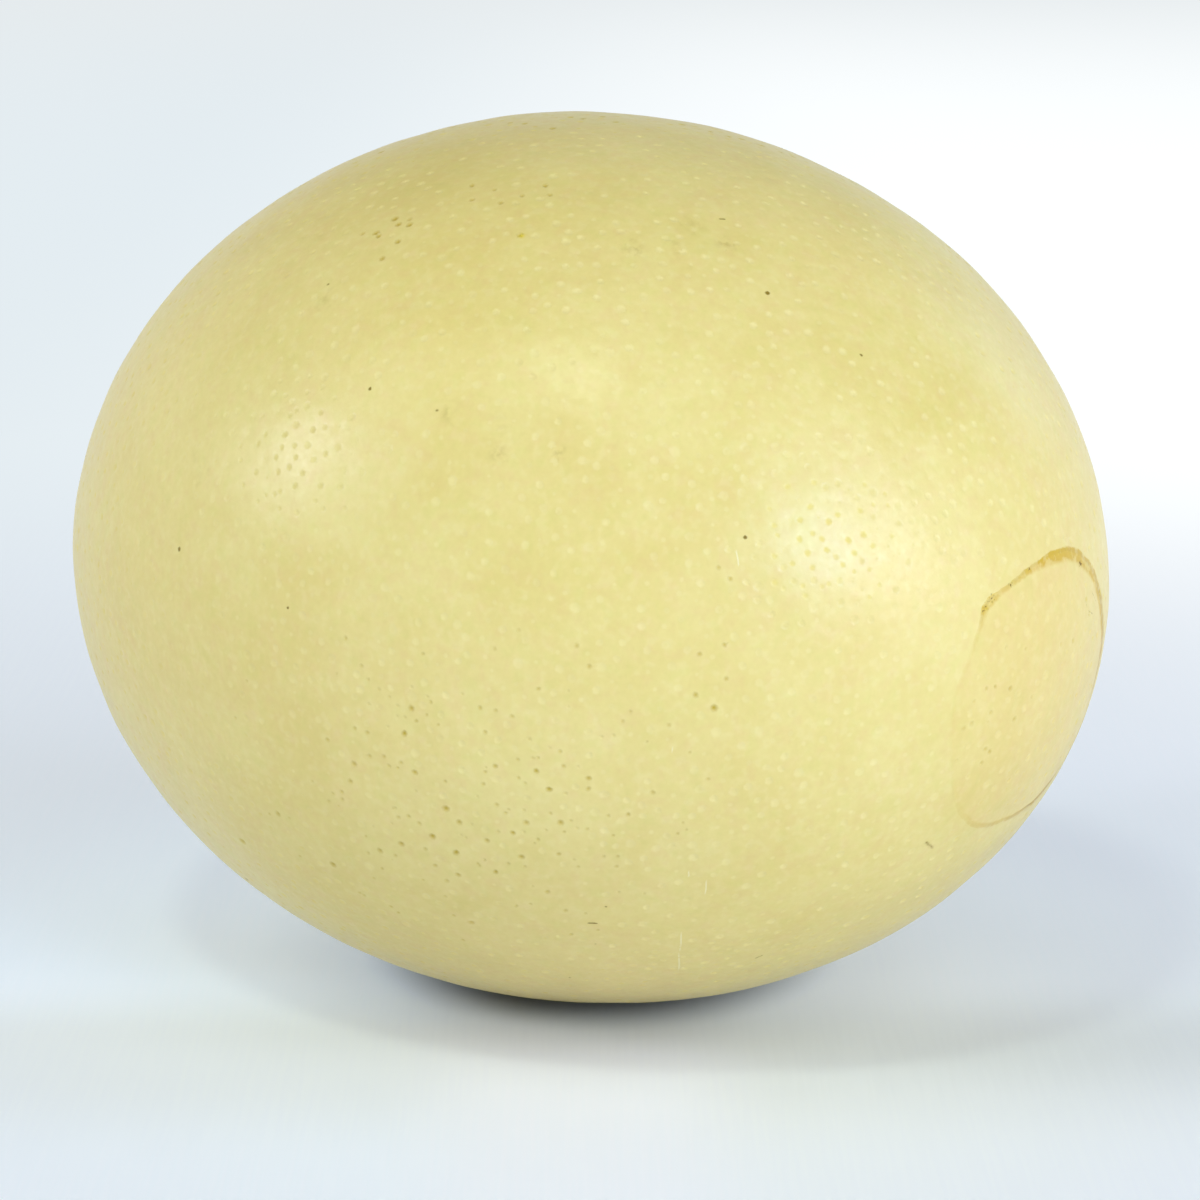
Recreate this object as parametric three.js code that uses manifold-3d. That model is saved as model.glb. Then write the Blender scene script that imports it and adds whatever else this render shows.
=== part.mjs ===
// An ostrich egg, whole and unbroken, lying on its side.
// Millimetres, +Z up. The long axis runs along X and the slightly blunter end is at +X.
// The origin is on the small flat spot that the egg rests on, under the middle of the egg.
import * as THREE from "three";
import { mergeVertices } from "three/addons/utils/BufferGeometryUtils.js";
import Module from "manifold-3d";

// ---- driving dimensions ----
const LENGTH = 156; // end to end
const WIDTH = 129; // across the middle
const BLUNT_END = 0.0053; // how much fuller the +X half is than the -X half
const END_TAPER = -0.0064; // how much both ends are drawn in against an ellipsoid
const REST_DEPTH = 0.44; // height of the cap taken off by the rest flat
const PROFILE_STEPS = 40; // along the egg, from end to end
const ROUND_STEPS = 72; // around the egg

// A laid egg is never quite a body of revolution. These are its broad, shallow swells (+) and
// flats (-): the direction from the centre of the egg, and the height in millimetres.
const SWELL_WIDTH = 20; // degrees, from the middle of a swell to about 0.6 of its height
const SWELLS = [
  [0.88, 0.476, 0.0, -0.32],
  [0.81, 0.323, -0.49, 0.49],
  [0.523, 0.083, -0.848, 0.14],
  [0.096, -0.178, -0.979, -0.49],
  [-0.356, -0.392, -0.848, 0.23],
  [-0.714, -0.501, -0.49, -0.06],
  [-0.88, -0.476, 0.0, 0.37],
  [-0.81, -0.323, 0.49, -0.48],
  [-0.523, -0.083, 0.848, -0.08],
  [-0.096, 0.178, 0.979, 0.34],
  [0.714, 0.501, 0.49, -0.12],
];

const SHELL_COLOUR = 0xe9dca0; // cream to pale straw
const SHELL_ROUGHNESS = 0.38;

// ---- profile of one half of the lengthwise section, on the lathe's own axis (Y) ----
const halfLength = LENGTH / 2;
const halfWidth = WIDTH / 2;
const profile = [];
for (let i = 0; i <= PROFILE_STEPS; i++) {
  const s = (Math.PI * i) / PROFILE_STEPS;
  const q = -Math.cos(s); // -1 at the narrow end, +1 at the blunt end
  const radius =
    i === 0 || i === PROFILE_STEPS
      ? 0
      : halfWidth * Math.sin(s) * (1 + BLUNT_END * q + END_TAPER * q * q);
  profile.push(new THREE.Vector2(radius, halfLength * q));
}

// the lathe turns about Y; the egg's axis is laid along X
const body = new THREE.LatheGeometry(profile, ROUND_STEPS);
body.rotateZ(-Math.PI / 2);
body.deleteAttribute("normal");
body.deleteAttribute("uv");
const egg = mergeVertices(body, 1e-3);

// ---- swells and flats, along the outward normal ----
function swellHeight(n) {
  const spread = 2 * Math.sin(THREE.MathUtils.degToRad(SWELL_WIDTH)) ** 2;
  let height = 0;
  for (const [x, y, z, h] of SWELLS) {
    const length = Math.hypot(x, y, z);
    const cosine = (n.x * x + n.y * y + n.z * z) / length;
    height += h * Math.exp((-2 * (1 - cosine)) / spread);
  }
  return height;
}

const position = egg.getAttribute("position");
const point = new THREE.Vector3();
const normal = new THREE.Vector3();
for (let i = 0; i < position.count; i++) {
  point.fromBufferAttribute(position, i);
  normal
    .set(
      point.x / halfLength ** 2,
      point.y / halfWidth ** 2,
      point.z / halfWidth ** 2,
    )
    .normalize();
  point.addScaledVector(normal, swellHeight(normal));
  position.setXYZ(i, point.x, point.y, point.z);
}

// ---- stand it on the ground: the middle of the egg over the origin, the flat at Z = 0 ----
egg.computeBoundingBox();
const box = egg.boundingBox;
egg.translate(
  -(box.min.x + box.max.x) / 2,
  -(box.min.y + box.max.y) / 2,
  -box.min.z - REST_DEPTH,
);

// ---- the rest flat, cut with a slab under the ground ----
const wasm = await Module();
wasm.setup();

function solidOf(geometry) {
  const g = geometry.index ? geometry.clone() : mergeVertices(geometry, 1e-3);
  return new wasm.Manifold(
    new wasm.Mesh({
      numProp: 3,
      vertProperties: new Float32Array(g.getAttribute("position").array),
      triVerts: new Uint32Array(g.index.array),
    }),
  );
}

function closedBox(x, y, z) {
  const g = new THREE.BoxGeometry(x, y, z);
  g.deleteAttribute("normal");
  g.deleteAttribute("uv");
  return mergeVertices(g, 1e-3);
}

const ground = closedBox(LENGTH, LENGTH, 20);
ground.translate(0, 0, -10);
const cut = solidOf(egg).subtract(solidOf(ground)).getMesh();

const corners = new Float32Array(cut.numVert * 3);
for (let i = 0; i < cut.numVert; i++)
  corners.set(
    cut.vertProperties.subarray(i * cut.numProp, i * cut.numProp + 3),
    i * 3,
  );
const eggGeometry = new THREE.BufferGeometry();
eggGeometry.setAttribute("position", new THREE.BufferAttribute(corners, 3));
eggGeometry.setIndex(new THREE.BufferAttribute(new Uint32Array(cut.triVerts), 1));
eggGeometry.computeVertexNormals();

const shell = new THREE.Mesh(
  eggGeometry,
  new THREE.MeshStandardMaterial({
    color: SHELL_COLOUR,
    roughness: SHELL_ROUGHNESS,
    metalness: 0,
  }),
);
shell.name = "ostrich_egg";

const part = new THREE.Group();
part.name = "ostrich_egg_part";
part.add(shell);

export default part;
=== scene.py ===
"""An ostrich egg lying on a pale floor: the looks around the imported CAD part. Metres, +Z up, long axis along X."""

import math

import bpy
import numpy as np
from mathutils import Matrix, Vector
from mathutils.geometry import delaunay_2d_cdt


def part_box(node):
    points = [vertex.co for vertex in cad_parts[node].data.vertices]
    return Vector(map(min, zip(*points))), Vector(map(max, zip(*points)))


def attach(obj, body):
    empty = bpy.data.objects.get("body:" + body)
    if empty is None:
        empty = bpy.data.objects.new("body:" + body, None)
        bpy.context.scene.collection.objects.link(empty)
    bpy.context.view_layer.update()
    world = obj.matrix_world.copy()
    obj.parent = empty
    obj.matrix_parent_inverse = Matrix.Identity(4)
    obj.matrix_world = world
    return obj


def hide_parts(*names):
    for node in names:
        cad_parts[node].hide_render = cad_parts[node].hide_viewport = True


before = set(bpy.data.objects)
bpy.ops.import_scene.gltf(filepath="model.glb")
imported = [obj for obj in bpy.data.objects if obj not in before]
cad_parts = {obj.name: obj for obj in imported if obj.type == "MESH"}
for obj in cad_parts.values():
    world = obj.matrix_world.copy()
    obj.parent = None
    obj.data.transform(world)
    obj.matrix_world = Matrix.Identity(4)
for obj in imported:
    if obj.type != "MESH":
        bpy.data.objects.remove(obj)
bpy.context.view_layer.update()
MM = 0.001
NODE = "ostrich_egg"

# --------------------------------------------------------------------------------------
# The egg's own shape, in millimetres, as the CAD part has it
# --------------------------------------------------------------------------------------
HALF_LENGTH = 78.0
HALF_WIDTH = 64.5
BLUNT_END = 0.0053
END_TAPER = -0.0064
SWELL_WIDTH = 20.0
SWELLS = (
    (0.88, 0.476, 0.0, -0.32),
    (0.81, 0.323, -0.49, 0.49),
    (0.523, 0.083, -0.848, 0.14),
    (0.096, -0.178, -0.979, -0.49),
    (-0.356, -0.392, -0.848, 0.23),
    (-0.714, -0.501, -0.49, -0.06),
    (-0.88, -0.476, 0.0, 0.37),
    (-0.81, -0.323, 0.49, -0.48),
    (-0.523, -0.083, 0.848, -0.08),
    (-0.096, 0.178, 0.979, 0.34),
    (0.714, 0.501, 0.49, -0.12),
)
INSET = 0.14  # the smooth shell stays about this far inside the CAD solid's surface

rng = np.random.default_rng(20611)


def unit(v):
    v = np.asarray(v, float)
    return v / np.maximum(np.linalg.norm(v, axis=-1, keepdims=True), 1e-12)


# Long, very low waves over the shell: (direction, wavelength in mm, height in mm, phase)
def make_waves(count, shortest, longest, slope):
    direction = unit(rng.normal(size=(count, 3)))
    length = shortest * (longest / shortest) ** rng.random(count)
    height = slope * length / (2 * math.pi) / math.sqrt(count / 2)
    return direction * (2 * math.pi / length)[:, None], height, rng.random(count) * 6.283


WAVES = [make_waves(26, 6.0, 13.0, 0.017), make_waves(14, 14.0, 40.0, 0.012)]


def undulation(p):
    h = np.zeros(len(p))
    for k, height, phase in WAVES:
        for i in range(len(height)):
            h += height[i] * np.sin(p @ k[i] + phase[i])
    return h


def shell(u, waves=True):
    """Point of the shell, before it is stood on the floor, for unit directions u."""
    q = u[:, 0]
    f = HALF_WIDTH * (1 + BLUNT_END * q + END_TAPER * q * q)
    p = np.stack([HALF_LENGTH * q, f * u[:, 1], f * u[:, 2]], -1)
    n = unit(p / np.array([HALF_LENGTH**2, HALF_WIDTH**2, HALF_WIDTH**2]))
    spread = 2 * math.sin(math.radians(SWELL_WIDTH)) ** 2
    h = np.full(len(p), 0.0)
    for x, y, z, height in SWELLS:
        d = unit((x, y, z))
        h += height * np.exp(-2 * (1 - n @ d) / spread)
    if waves:
        h += undulation(p) - INSET
    return p + n * h[:, None]


def frame_of(u):
    """Two unit tangents of the sphere at u."""
    helper = np.where(np.abs(u[:, 2:3]) < 0.9, [[0.0, 0.0, 1.0]], [[1.0, 0.0, 0.0]])
    t1 = unit(np.cross(helper, u))
    return t1, np.cross(u, t1)


def shell_normal(u):
    t1, t2 = frame_of(u)
    e = 0.3 / 70.0
    a = shell(unit(u + e * t1)) - shell(unit(u - e * t1))
    b = shell(unit(u + e * t2)) - shell(unit(u - e * t2))
    return unit(np.cross(a, b))


def direction_of(p):
    """The unit direction whose shell point lies nearest to p (mm, part frame, standing)."""
    p = np.asarray(p, float) - STAND
    q = np.clip(p[:, 0] / HALF_LENGTH, -0.9999, 0.9999)
    u = np.stack([q, p[:, 1] / HALF_WIDTH, p[:, 2] / HALF_WIDTH], -1)
    u = unit(u)
    for _ in range(12):
        miss = p - shell(u, waves=False)
        t1, t2 = frame_of(u)
        e = 1e-3
        d1 = (shell(unit(u + e * t1), False) - shell(unit(u - e * t1), False)) / (2 * e)
        d2 = (shell(unit(u + e * t2), False) - shell(unit(u - e * t2), False)) / (2 * e)
        c1 = (miss * d1).sum(1) / (d1 * d1).sum(1)
        c2 = (miss * d2).sum(1) / (d2 * d2).sum(1)
        u = unit(u + t1 * c1[:, None] + t2 * c2[:, None])
    return u


def moved(u, dx, dy):
    """Directions reached from u by going dx, dy millimetres over the shell, along its two tangents."""
    t1, t2 = frame_of(u)
    e = 1e-3
    s1 = np.linalg.norm(shell(unit(u + e * t1), False) - shell(u, False), axis=1) / e
    s2 = np.linalg.norm(shell(unit(u + e * t2), False) - shell(u, False), axis=1) / e
    return unit(u + t1 * (dx / s1)[:, None] + t2 * (dy / s2)[:, None])


# Standing: the CAD solid's box gives the place of the shell
_s, _t = np.meshgrid(np.linspace(0, np.pi, 181), np.linspace(0, 2 * np.pi, 361))
_u = np.stack([np.cos(_s), np.sin(_s) * np.cos(_t), np.sin(_s) * np.sin(_t)], -1).reshape(-1, 3)
_p = shell(_u, waves=False)
node_lo, node_hi = (np.array(c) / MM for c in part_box(NODE))
STAND = np.array([
    (node_lo[0] + node_hi[0]) / 2 - (_p[:, 0].min() + _p[:, 0].max()) / 2,
    (node_lo[1] + node_hi[1]) / 2 - (_p[:, 1].min() + _p[:, 1].max()) / 2,
    node_hi[2] - _p[:, 2].max(),
])


# --------------------------------------------------------------------------------------
# Points of the mesh: pits, marks, the ring line, and the smooth shell between them
# --------------------------------------------------------------------------------------
class Grid:
    """Keeps points at least some distance apart."""

    def __init__(self, cell):
        self.cell, self.cells = cell, {}

    def near(self, p, reach):
        c = self.cell
        i0, i1 = int((p[0] - reach) // c), int((p[0] + reach) // c)
        j0, j1 = int((p[1] - reach) // c), int((p[1] + reach) // c)
        k0, k1 = int((p[2] - reach) // c), int((p[2] + reach) // c)
        for i in range(i0, i1 + 1):
            for j in range(j0, j1 + 1):
                for k in range(k0, k1 + 1):
                    yield from self.cells.get((i, j, k), ())

    def add(self, p, r):
        c = self.cell
        self.cells.setdefault((int(p[0] // c), int(p[1] // c), int(p[2] // c)), []).append((p[0], p[1], p[2], r))

    def free(self, p, r, gap):
        """No kept disc comes closer than gap to a disc of radius r at p."""
        for x, y, z, other in self.near(p, r + gap + self.widest):
            d = (x - p[0]) ** 2 + (y - p[1]) ** 2 + (z - p[2]) ** 2
            if d < (r + other + gap) ** 2:
                return False
        return True

    widest = 1.6


def at(s, t):
    """Unit direction s degrees from the blunt (+X) end and t degrees around the long axis."""
    s, t = np.radians(s), np.radians(t)
    return np.stack([np.cos(s), np.sin(s) * np.cos(t), np.sin(s) * np.sin(t)], -1)


# Open pores: (degrees from the blunt end, degrees around, radius in mm, how dark)
PORES = (
    (88.6, 182.2, 0.39, 0.45), (87.9, 183.8, 0.35, 0.35), (86.8, 184.9, 0.42, 0.30),
    (83.4, 186.8, 0.51, 0.80), (76.2, 186.1, 0.40, 0.60), (73.0, 187.0, 0.40, 0.55),
    (65.2, 180.3, 0.42, 0.60), (54.3, 178.4, 0.41, 0.65), (54.7, 184.3, 0.45, 0.75),
    (52.9, 186.4, 0.51, 0.95), (51.8, 177.0, 0.38, 0.70), (51.6, 182.1, 0.39, 0.60),
    (88.5, 190.5, 0.40, 0.55), (84.4, 190.1, 0.52, 0.95), (88.6, 193.6, 0.41, 0.50),
    (86.6, 194.6, 0.40, 0.45), (90.6, 195.0, 0.52, 0.65), (83.8, 195.1, 0.50, 0.80),
    (91.4, 197.5, 0.49, 0.60), (75.2, 193.6, 0.45, 0.70), (76.7, 196.1, 0.42, 0.50),
    (72.4, 195.9, 0.35, 0.40), (71.1, 194.2, 0.44, 0.90), (70.1, 196.8, 0.51, 0.95),
    (68.5, 191.6, 0.37, 0.50), (66.0, 195.5, 0.47, 0.80), (66.2, 197.0, 0.44, 0.65),
    (59.9, 198.4, 0.44, 0.55), (81.2, 199.9, 0.58, 0.90), (80.1, 201.8, 0.51, 0.75),
    (75.7, 199.0, 0.43, 0.50), (73.1, 201.7, 0.50, 0.70), (69.6, 201.8, 0.49, 0.80),
    (85.5, 201.5, 0.42, 0.50), (86.7, 201.8, 0.42, 0.45), (84.5, 202.4, 0.42, 0.50),
    (83.4, 204.2, 0.53, 0.95), (81.3, 206.5, 0.57, 0.95), (77.6, 204.4, 0.48, 0.70),
    (74.7, 203.2, 0.44, 0.90), (76.2, 203.0, 0.37, 0.40), (74.5, 207.0, 0.52, 0.80),
    (70.6, 206.7, 0.41, 0.60), (87.2, 205.9, 0.55, 0.80), (90.0, 207.5, 0.53, 0.70),
    (84.6, 206.3, 0.43, 0.50), (84.1, 208.9, 0.44, 0.60), (81.9, 210.2, 0.48, 0.70),
    (83.4, 211.4, 0.45, 0.50), (77.7, 209.5, 0.47, 0.85), (73.1, 213.2, 0.48, 0.60),
    (82.9, 219.4, 0.62, 0.60), (72.1, 217.0, 0.49, 0.50), (96.8, 211.8, 0.59, 0.80),
    (62.7, 201.4, 0.39, 0.70), (67.1, 203.0, 0.36, 0.40), (102.1, 205.2, 0.53, 0.60),
    (110.0, 214.0, 0.71, 0.60), (90.3, 179.1, 0.42, 0.50), (72.2, 176.2, 0.36, 0.40),
    (51.7, 167.3, 0.38, 0.60), (53.0, 165.9, 0.38, 0.55), (20.9, 196.1, 0.39, 0.49),
    (19.5, 197.2, 0.40, 0.56), (17.2, 202.0, 0.45, 0.63), (22.9, 198.4, 0.39, 0.35),
    (20.8, 205.8, 0.44, 0.45), (17.7, 216.9, 0.47, 0.49), (24.9, 205.2, 0.45, 0.42),
    (23.7, 205.2, 0.46, 0.42), (21.5, 208.4, 0.35, 0.28), (22.8, 217.7, 0.42, 0.52),
    (22.4, 220.2, 0.46, 0.59), (23.9, 221.5, 0.46, 0.49), (17.4, 183.6, 0.40, 0.28),
    (13.9, 187.5, 0.42, 0.32), (6.8, 203.0, 0.44, 0.28), (4.1, 222.3, 0.48, 0.35),
    (14.1, 215.9, 0.42, 0.24), (26.8, 213.5, 0.37, 0.24), (22.3, 240.5, 0.46, 0.24),
    (7.6, 149.8, 0.42, 0.24), (1.8, 64.8, 0.48, 0.35), (1.9, 353.1, 0.59, 0.42),
    (97.0, 124.2, 0.61, 0.95), (96.1, 125.3, 0.52, 0.90), (94.7, 125.4, 0.59, 0.90),
    (98.3, 126.7, 0.60, 0.90), (97.7, 127.3, 0.52, 0.90), (94.9, 128.4, 0.54, 0.90),
    (95.7, 131.2, 0.53, 0.80), (95.1, 124.4, 0.44, 0.60), (100.0, 126.6, 0.49, 0.60),
    (90.7, 117.4, 0.54, 0.80), (89.5, 120.3, 0.52, 0.70), (87.9, 118.0, 0.45, 0.60),
    (86.2, 120.4, 0.47, 0.70), (84.5, 118.6, 0.47, 0.70), (83.0, 115.9, 0.52, 0.85),
    (81.8, 117.6, 0.47, 0.70), (82.1, 125.6, 0.54, 0.60), (95.2, 97.3, 0.50, 0.50),
    (93.1, 98.1, 0.54, 0.60), (88.9, 100.1, 0.58, 0.70), (89.8, 93.4, 0.62, 0.50),
    (88.1, 93.9, 0.50, 0.60), (87.0, 91.2, 0.54, 0.70), (84.4, 93.6, 0.58, 0.50),
    (79.4, 87.1, 0.62, 0.60), (76.1, 86.8, 0.50, 0.70), (74.1, 86.4, 0.54, 0.50),
    (73.0, 85.3, 0.58, 0.60), (70.9, 84.5, 0.62, 0.70), (68.8, 83.6, 0.50, 0.50),
    (67.7, 82.5, 0.54, 0.60), (107.6, 99.5, 0.58, 0.70), (108.4, 103.8, 0.62, 0.50),
    (104.7, 96.9, 0.50, 0.60), (102.7, 96.3, 0.54, 0.70), (50.2, 71.0, 0.58, 0.50),
    (47.6, 69.4, 0.62, 0.60),
)
# Shallow pits that show where the shell glints: angle from the +X end, turn, radius in mm, strength (how dark, and
# near the +X end how yellow, the pit is painted: painted shade for the glint it loses)
GLINTS = (
    (39.8, 158.2, 0.58, 0.60), (38.2, 156.5, 0.58, 0.54), (42.3, 155.8, 0.58, 0.53),
    (44.0, 161.8, 0.56, 0.50), (47.1, 167.2, 0.55, 0.48), (41.5, 154.2, 0.55, 0.48),
    (38.9, 160.3, 0.54, 0.46), (45.1, 159.8, 0.54, 0.45), (44.6, 154.1, 0.54, 0.45),
    (42.0, 160.7, 0.53, 0.44), (47.4, 151.9, 0.52, 0.42), (42.7, 159.0, 0.52, 0.42),
    (39.1, 152.3, 0.52, 0.41), (45.4, 156.7, 0.51, 0.40), (47.5, 163.1, 0.51, 0.40),
    (36.9, 158.2, 0.51, 0.39), (43.3, 164.1, 0.50, 0.38), (45.5, 163.9, 0.50, 0.37),
    (48.0, 158.4, 0.49, 0.36), (40.0, 162.8, 0.48, 0.34), (43.7, 168.9, 0.48, 0.33),
    (43.8, 158.4, 0.48, 0.33), (44.8, 150.0, 0.48, 0.33), (44.1, 167.3, 0.47, 0.32),
    (39.3, 147.3, 0.47, 0.31), (36.5, 168.2, 0.46, 0.29), (37.8, 150.4, 0.45, 0.28),
    (48.8, 156.0, 0.45, 0.28), (36.8, 147.5, 0.45, 0.28), (34.9, 155.3, 0.44, 0.26),
    (41.3, 166.5, 0.44, 0.26), (42.0, 167.1, 0.44, 0.25), (36.1, 149.5, 0.44, 0.25),
    (47.5, 159.8, 0.43, 0.24), (46.1, 168.0, 0.43, 0.24), (35.5, 165.5, 0.43, 0.23),
    (36.9, 162.9, 0.43, 0.23), (38.6, 163.7, 0.43, 0.23), (96.8, 154.9, 0.58, 0.60),
    (100.1, 155.7, 0.58, 0.60), (103.4, 157.0, 0.57, 0.53), (94.6, 161.6, 0.56, 0.51),
    (97.7, 161.9, 0.56, 0.50), (100.1, 160.4, 0.55, 0.48), (96.3, 152.7, 0.54, 0.47),
    (100.7, 158.6, 0.54, 0.47), (100.2, 157.3, 0.54, 0.45), (98.8, 159.7, 0.54, 0.45),
    (97.0, 160.3, 0.54, 0.45), (103.0, 160.6, 0.52, 0.43), (102.7, 155.8, 0.51, 0.40),
    (94.7, 157.7, 0.50, 0.39), (104.4, 162.3, 0.49, 0.36), (98.2, 158.4, 0.49, 0.35),
    (101.3, 150.8, 0.48, 0.34), (91.5, 163.9, 0.48, 0.34), (99.4, 152.6, 0.48, 0.33),
    (112.2, 157.0, 0.48, 0.33), (98.6, 157.0, 0.47, 0.32), (94.9, 163.4, 0.47, 0.32),
    (105.4, 159.2, 0.47, 0.31), (103.6, 153.5, 0.47, 0.31), (102.5, 148.9, 0.47, 0.31),
    (96.9, 149.6, 0.46, 0.29), (93.9, 164.3, 0.46, 0.29), (105.8, 157.4, 0.46, 0.29),
    (98.6, 150.3, 0.46, 0.29), (95.1, 150.9, 0.45, 0.28), (99.5, 162.7, 0.45, 0.28),
    (98.8, 148.2, 0.45, 0.27), (100.1, 163.1, 0.45, 0.27), (100.0, 153.3, 0.45, 0.27),
    (101.2, 163.3, 0.45, 0.27), (110.4, 155.8, 0.44, 0.26), (110.6, 153.4, 0.44, 0.26),
    (99.2, 164.8, 0.44, 0.26), (102.1, 164.2, 0.44, 0.26),
)
# Brown specks on the shell, the same way
SPECKS = (
    (56.2, 122.4, 0.62, 1.00), (97.2, 176.4, 0.43, 0.85), (50.7, 161.0, 0.47, 0.95),
    (91.3, 149.4, 0.49, 0.90), (44.6, 124.2, 0.44, 0.80), (113.1, 171.3, 0.61, 0.90),
    (100.9, 135.2, 0.60, 0.60), (21.0, 167.9, 1.15, 0.78), (20.3, 165.0, 1.00, 1.00),
    (21.5, 169.4, 0.90, 0.62), (17.6, 158.5, 0.80, 0.95), (14.8, 148.8, 0.60, 0.60), (6.1, 92.3, 1.05, 0.95),
    (115.8, 228.5, 0.80, 0.75), (70.9, 224.8, 0.50, 0.45), (67.8, 217.0, 0.42, 0.60),
    (76.5, 233.7, 0.52, 0.50), (83.5, 151.2, 0.56, 0.52), (81.4, 151.9, 0.45, 0.30),
)
# Soft darker smudges, the same way
SMUDGES = (
    (76.2, 155.6, 1.36, 0.35), (70.4, 154.1, 1.05, 0.35), (70.6, 123.4, 1.58, 0.45),
    (66.9, 121.1, 1.42, 0.30), (62.6, 117.1, 1.45, 0.40), (82.4, 151.4, 1.56, 0.30),
    (76.6, 152.7, 2.44, 0.20), (66.8, 116.3, 1.85, 0.25), (100.4, 137.7, 2.23, 0.25),
    (111.3, 160.9, 2.61, 0.20), (28.8, 223.2, 1.93, 0.20),
)
# Short brown dashes: (s, t) of both ends, half width in mm, how dark
DASHES = (
    (65.0, 112.9, 64.1, 112.4, 0.20, 0.55), (57.7, 239.6, 56.4, 239.6, 0.24, 0.52),
    (70.6, 219.8, 69.3, 220.3, 0.17, 0.70),
    (34.1, 231.1, 34.0, 237.3, 0.44, 0.45), (1.9, 87.8, 1.2, 15.0, 0.14, 0.45),
    (1.2, 15.0, 3.7, 345.2, 0.14, 0.45), (3.7, 42.4, 4.9, 2.1, 0.13, 0.40),
)
# Pale hairline scratches: (s, t) of both ends
SCRATCHES = (
    (61.7, 225.2, 63.4, 230.5), (63.4, 230.5, 65.3, 236.4), (56.8, 215.2, 57.7, 218.4),
    (51.4, 162.9, 51.0, 165.5), (58.2, 212.6, 58.6, 214.1), (57.3, 191.6, 57.5, 192.8),
)
# A small yellow fleck: (s, t, radius)
FLECK = (81.9, 125.7, 0.40)
# The ring line on the blunt end: its axis, then for angles around that axis (0 is up, 90 away
# from the -Y side) its distance in degrees, groove depth and half width in mm, amber, dark edge (partly dirt in
# the groove, partly painted shade on its upper wall), and the edge's offset in mm (outwards positive)
RING_AXIS = (0.985, -0.106, -0.135)
RING = (
    (-180, 14.45, 0.05, 0.40, 0.55, 0.15, -0.10),
    (-165, 14.75, 0.05, 0.42, 0.45, 0.08, -0.10),
    (-150, 14.75, 0.04, 0.42, 0.28, 0.00, 0.00),
    (-135, 14.55, 0.03, 0.36, 0.10, 0.00, 0.00),
    (-115, 14.05, 0.02, 0.30, 0.03, 0.00, 0.00),
    (-95, 14.35, 0.02, 0.30, 0.04, 0.00, 0.00),
    (-80, 14.80, 0.03, 0.30, 0.07, 0.00, 0.00),
    (-65, 14.60, 0.04, 0.30, 0.12, 0.00, 0.00),
    (-52, 15.25, 0.06, 0.34, 0.25, 0.05, 0.10),
    (-45, 15.95, 0.07, 0.60, 1.10, 0.25, 0.10),
    (-41, 15.80, 0.07, 0.60, 1.10, 0.25, 0.10),
    (-37, 15.55, 0.06, 0.38, 0.55, 0.05, 0.10),
    (-30, 15.05, 0.06, 0.36, 0.55, 0.20, 0.15),
    (-22, 14.75, 0.07, 0.38, 0.80, 0.15, 0.20),
    (-12, 14.60, 0.08, 0.50, 1.15, 0.10, 0.30),
    (0, 14.65, 0.08, 0.74, 1.35, 0.10, 0.45),
    (12, 14.82, 0.08, 0.86, 1.35, 0.20, 0.55),
    (25, 14.80, 0.08, 0.86, 1.35, 0.25, 0.50),
    (38, 14.60, 0.08, 0.80, 1.35, 0.20, 0.40),
    (52, 14.35, 0.08, 0.85, 1.35, 0.25, 0.25),
    (66, 14.30, 0.08, 0.95, 1.35, 0.50, 0.10),
    (80, 14.75, 0.08, 0.95, 1.35, 0.70, 0.00),
    (95, 15.20, 0.07, 0.75, 1.25, 0.60, 0.00),
    (110, 15.45, 0.06, 0.42, 0.60, 0.45, 0.00),
    (120, 15.60, 0.07, 0.38, 0.60, 0.45, 0.00),
    (135, 15.50, 0.09, 0.42, 0.90, 0.70, -0.10),
    (146, 15.30, 0.11, 0.45, 1.20, 1.00, -0.12),
    (156, 15.05, 0.09, 0.42, 1.00, 0.85, -0.12),
    (168, 14.55, 0.06, 0.38, 0.65, 0.35, -0.15),
    (180, 14.45, 0.05, 0.40, 0.55, 0.15, -0.10),
)
PIT_DEPTH = 0.13  # of its radius
VERTEX_BUDGET = 99900

ring_axis = unit(RING_AXIS)
ring_up = unit(np.array([0, 0, 1.0]) - ring_axis * ring_axis[2])
ring_side = np.cross(ring_up, ring_axis)
_ring = np.array(RING, float)
_wobble = [(k, 0.10 * rng.normal() / math.sqrt(k), 6.283 * rng.random()) for k in range(5, 40)]


def ring_at(phi):
    """Columns of RING at angles phi (degrees), with a small natural wobble of the line."""
    cols = [np.interp(phi, _ring[:, 0], _ring[:, i]) for i in range(1, 7)]
    a = np.radians(phi)
    cols[0] = cols[0] + 0.25 * sum(h * np.sin(k * a + f) for k, h, f in _wobble)
    return cols


def ring_place(u):
    """Angle around the ring's axis and signed distance outside the ring line in mm, from the middle of the egg's end."""
    p = shell(u, waves=False)
    d = unit(p)
    phi = np.degrees(np.arctan2(d @ ring_side, d @ ring_up))
    ang = np.degrees(np.arccos(np.clip(d @ ring_axis, -1, 1)))
    return phi, ang, np.linalg.norm(p, axis=1)


def ring_fields(u):
    """Height and slope outwards at directions u, and what the stain along the line is drawn from."""
    phi, ang, far = ring_place(u)
    rho, depth, half, amber, dark, off = ring_at(phi)
    s = np.radians(ang - rho) * far
    g = np.exp(-((s / half) ** 2))
    height = -depth * g
    slope = depth * g * 2 * s / half**2
    stain = {"ring_s": np.clip(s, -3.0, 3.0), "ring_half": half, "ring_amber": amber / 1.35,
             "ring_dark": dark, "ring_off": off}
    return height, slope, s, stain


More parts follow.
